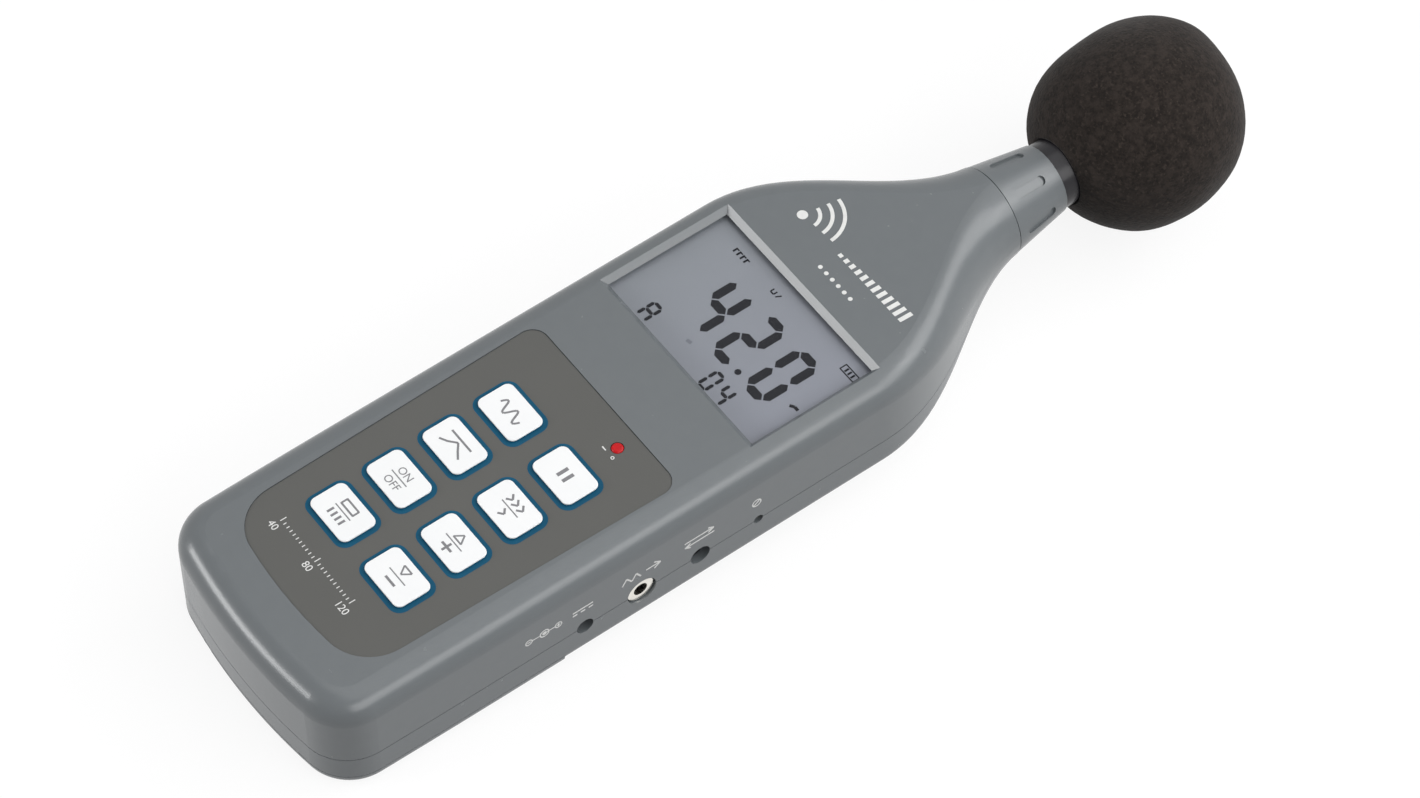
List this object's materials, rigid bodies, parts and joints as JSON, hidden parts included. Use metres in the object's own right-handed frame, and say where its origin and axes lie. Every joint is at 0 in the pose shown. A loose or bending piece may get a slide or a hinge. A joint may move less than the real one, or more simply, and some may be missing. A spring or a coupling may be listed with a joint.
{
  "type": "sound level meter",
  "caption": "Handheld sound level meter: grey housing that tapers to a microphone under a foam ball, with a display window, a keypad, side sockets and a battery door.",
  "frame": {"origin": "mouth of the tripod thread, on the flat back of the housing", "axes": "+X to the side with the sockets, +Y along the body to the microphone, +Z out of the display side"},
  "size_m": [0.0676, 0.2738, 0.0504],
  "materials": {
    "housing": "moulded plastic with a fine texture and a soft sheen",
    "overlay_film": "printed film, satin",
    "key_cap": "moulded, satin",
    "display_window": "clear moulded window",
    "lcd_glass": "reflective display glass",
    "holder_plastic": "moulded, dull",
    "soft_rubber": "silicone, dull",
    "board_laminate": "glass fibre laminate under solder mask",
    "screw_steel": "zinc plated",
    "brass_insert": "turned",
    "chip_plastic": "moulded, dull",
    "can_aluminium": "drawn can",
    "bright_metal": "nickel plated, bright",
    "red_lamp": "clear tinted resin",
    "jack_plastic": "moulded, dull",
    "trimmer_plastic": "moulded, dull",
    "cell_jacket": "plain printed jacket",
    "spring_steel": "nickel plated spring strip",
    "base_paint": "dark grey, glossy",
    "microphone_metal": "turned, satin",
    "insulator_plastic": "machined",
    "foam": "open cell foam, porous"
  },
  "bodies": {
    "housing": {"front_shell": "housing", "rear_shell": "housing", "case_screws": "screw_steel", "tripod_insert": "brass_insert", "keypad_overlay": "overlay_film", "display_lens": "display_window", "lcd_panel": "lcd_glass", "lcd_holder": "holder_plastic", "zebra_strips": "soft_rubber", "keypad_mat": "soft_rubber", "main_board": "board_laminate", "board_screws": "screw_steel", "signal_board": "board_laminate", "board_spacers": "brass_insert", "signal_screws": "screw_steel", "pin_header": "holder_plastic", "processor": "chip_plastic", "crystal": "bright_metal", "signal_chips": "chip_plastic", "capacitors": "can_aluminium", "status_lamp": "red_lamp", "power_jack": "jack_plastic", "power_pin": "bright_metal", "output_jack": "jack_plastic", "output_bush": "bright_metal", "serial_jack": "jack_plastic", "trimmer_body": "trimmer_plastic", "battery_cell_1": "cell_jacket", "battery_cell_2": "cell_jacket", "battery_cell_3": "cell_jacket", "battery_cell_4": "cell_jacket", "upper_contacts": "spring_steel", "lower_contacts": "spring_steel", "microphone_base": "base_paint", "preamp_board": "board_laminate", "microphone_body": "microphone_metal", "diaphragm": "bright_metal", "backplate": "microphone_metal", "insulator": "insulator_plastic", "protection_grid": "microphone_metal"},
    "battery_door": {"battery_door": "housing"},
    "grip_collar": {"grip_collar": "housing"},
    "windscreen": {"windscreen": "foam"},
    "trimmer_rotor": {"trimmer_rotor": "brass_insert"},
    "key_function": {"key_function": "key_cap"},
    "key_max_hold": {"key_max_hold": "key_cap"},
    "key_power": {"key_power": "key_cap"},
    "key_memory": {"key_memory": "key_cap"},
    "key_hold": {"key_hold": "key_cap"},
    "key_speed": {"key_speed": "key_cap"},
    "key_up": {"key_up": "key_cap"},
    "key_down": {"key_down": "key_cap"}
  },
  "joints": [
    {"name": "key_function_press", "type": "slide", "parent": "housing", "child": "key_function", "axis": [0, 0, -1], "range_m": [0, 0.0004], "stiffness_N_per_m": 600},
    {"name": "key_max_hold_press", "type": "slide", "parent": "housing", "child": "key_max_hold", "axis": [0, 0, -1], "range_m": [0, 0.0004], "stiffness_N_per_m": 600},
    {"name": "key_power_press", "type": "slide", "parent": "housing", "child": "key_power", "axis": [0, 0, -1], "range_m": [0, 0.0004], "stiffness_N_per_m": 600},
    {"name": "key_memory_press", "type": "slide", "parent": "housing", "child": "key_memory", "axis": [0, 0, -1], "range_m": [0, 0.0004], "stiffness_N_per_m": 600},
    {"name": "key_hold_press", "type": "slide", "parent": "housing", "child": "key_hold", "axis": [0, 0, -1], "range_m": [0, 0.0004], "stiffness_N_per_m": 600},
    {"name": "key_speed_press", "type": "slide", "parent": "housing", "child": "key_speed", "axis": [0, 0, -1], "range_m": [0, 0.0004], "stiffness_N_per_m": 600},
    {"name": "key_up_press", "type": "slide", "parent": "housing", "child": "key_up", "axis": [0, 0, -1], "range_m": [0, 0.0004], "stiffness_N_per_m": 600},
    {"name": "key_down_press", "type": "slide", "parent": "housing", "child": "key_down", "axis": [0, 0, -1], "range_m": [0, 0.0004], "stiffness_N_per_m": 600},
    {"name": "battery_door_slide", "type": "slide", "parent": "housing", "child": "battery_door", "axis": [0, -1, 0], "range_m": [0, 0.07]},
    {"name": "grip_collar_turn", "type": "hinge", "parent": "housing", "child": "grip_collar", "pos_m": [0, 0.12, 0.0138], "axis": [0, 1, 0], "range_deg": [0, 90]},
    {"name": "windscreen_slide", "type": "slide", "parent": "housing", "child": "windscreen", "axis": [0, 1, 0], "range_m": [0, 0.05]},
    {"name": "trimmer_turn", "type": "hinge", "parent": "housing", "child": "trimmer_rotor", "pos_m": [0.03, 0.0251, 0.0094], "axis": [1, 0, 0], "range_deg": [-135, 135]}
  ]
}
